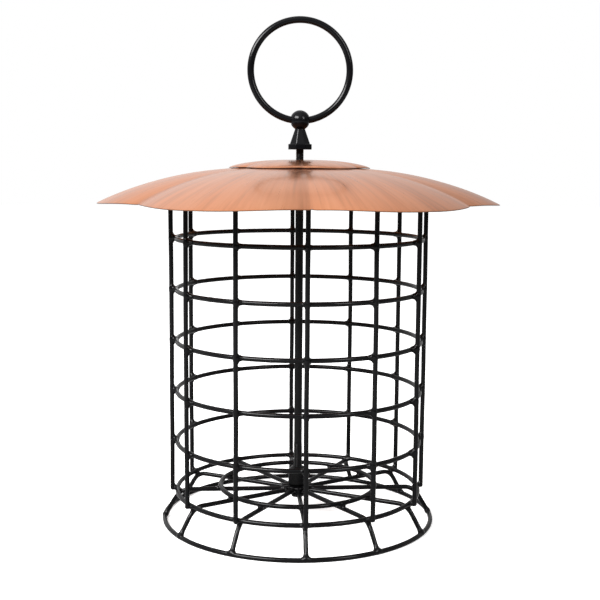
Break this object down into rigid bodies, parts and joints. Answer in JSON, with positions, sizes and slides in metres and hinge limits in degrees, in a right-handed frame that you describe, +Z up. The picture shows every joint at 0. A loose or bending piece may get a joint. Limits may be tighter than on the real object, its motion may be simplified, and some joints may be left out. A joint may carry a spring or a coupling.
{
  "type": "wire cage bird feeder",
  "caption": "Round wire-cage feeder for fat balls, with a central rod, a lobed two-tier lift-off roof, a screw-on finial and a swinging hanging ring.",
  "frame": {"origin": "on the rod's axis, level with the bottom of the base hoop", "axes": "+Z up along the rod, +X through the tip of a roof lobe and along the finial's cross hole, -Y towards the front"},
  "size_m": [0.2602, 0.2432, 0.3282],
  "materials": {
    "cage_wire": "gloss black powder coat",
    "black_casting": "gloss black enamel",
    "rod_steel": "satin black coat",
    "copper_roof": "copper-plated and radially brushed"
  },
  "bodies": {
    "cage": {"central_rod": "rod_steel", "hub_plate": "cage_wire", "hub_washer": "rod_steel", "hub_bottom_nut": "rod_steel", "hub_top_nut": "rod_steel", "base_hoop": "cage_wire", "floor_ring": "cage_wire", "cage_ring_1": "cage_wire", "cage_ring_2": "cage_wire", "cage_ring_3": "cage_wire", "cage_ring_4": "cage_wire", "cage_ring_5": "cage_wire", "cage_ring_6": "cage_wire", "cage_ring_7": "cage_wire", "upright_01": "cage_wire", "upright_02": "cage_wire", "upright_03": "cage_wire", "upright_04": "cage_wire", "upright_05": "cage_wire", "upright_06": "cage_wire", "upright_07": "cage_wire", "upright_08": "cage_wire", "upright_09": "cage_wire", "upright_10": "cage_wire", "upright_11": "cage_wire", "upright_12": "cage_wire", "spoke_leg_01": "cage_wire", "spoke_leg_02": "cage_wire", "spoke_leg_03": "cage_wire", "spoke_leg_04": "cage_wire", "spoke_leg_05": "cage_wire", "spoke_leg_06": "cage_wire", "spoke_leg_07": "cage_wire", "spoke_leg_08": "cage_wire", "spoke_leg_09": "cage_wire", "spoke_leg_10": "cage_wire", "spoke_leg_11": "cage_wire", "spoke_leg_12": "cage_wire"},
    "roof": {"roof_canopy": "copper_roof", "roof_cap": "copper_roof"},
    "finial": {"finial_nut": "black_casting"},
    "ring": {"hanging_ring": "black_casting"}
  },
  "joints": [
    {"name": "roof_lift", "type": "slide", "parent": "cage", "child": "roof", "axis": [0, 0, 1], "range_m": [0, 0.06]},
    {"name": "finial_turn", "type": "hinge", "parent": "roof", "child": "finial", "pos_m": [0, 0, 0.248], "axis": [0, 0, 1], "continuous": true},
    {"name": "ring_swing", "type": "hinge", "parent": "finial", "child": "ring", "pos_m": [0, 0, 0.2627], "axis": [1, 0, 0], "range_deg": [-115, 115]}
  ]
}
